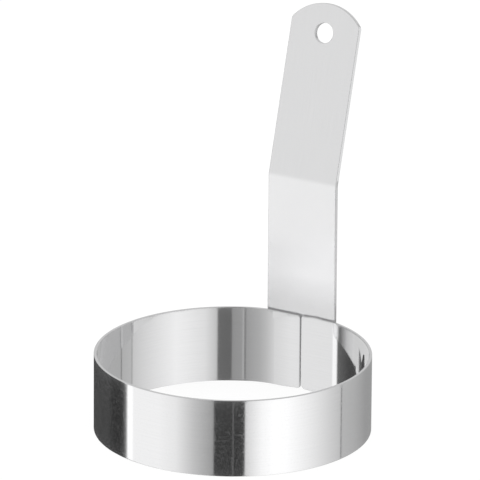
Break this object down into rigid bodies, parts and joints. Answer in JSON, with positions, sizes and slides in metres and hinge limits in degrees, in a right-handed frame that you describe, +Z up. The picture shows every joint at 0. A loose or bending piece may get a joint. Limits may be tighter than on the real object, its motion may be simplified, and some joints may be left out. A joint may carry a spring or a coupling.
{
  "type": "egg ring",
  "caption": "Round egg ring of polished steel strip with an upright flat strap handle that leans outwards and ends in a hanging hole.",
  "frame": {"origin": "centre of the ring on the plane of its lower rim", "axes": "+Z up along the ring's axis; +Y from the ring's centre to the handle; +X to the right when the handle is at the back"},
  "size_m": [0.089, 0.1042, 0.1269],
  "materials": {
    "band_steel": "bright polished stainless steel strip",
    "strap_steel": "bright rolled stainless steel strap, satin to the touch",
    "weld_steel": "fused steel inside the joint, not seen"
  },
  "bodies": {
    "root": {"ring_band": "band_steel", "handle_strap": "strap_steel", "spot_welds": "weld_steel"}
  },
  "joints": []
}
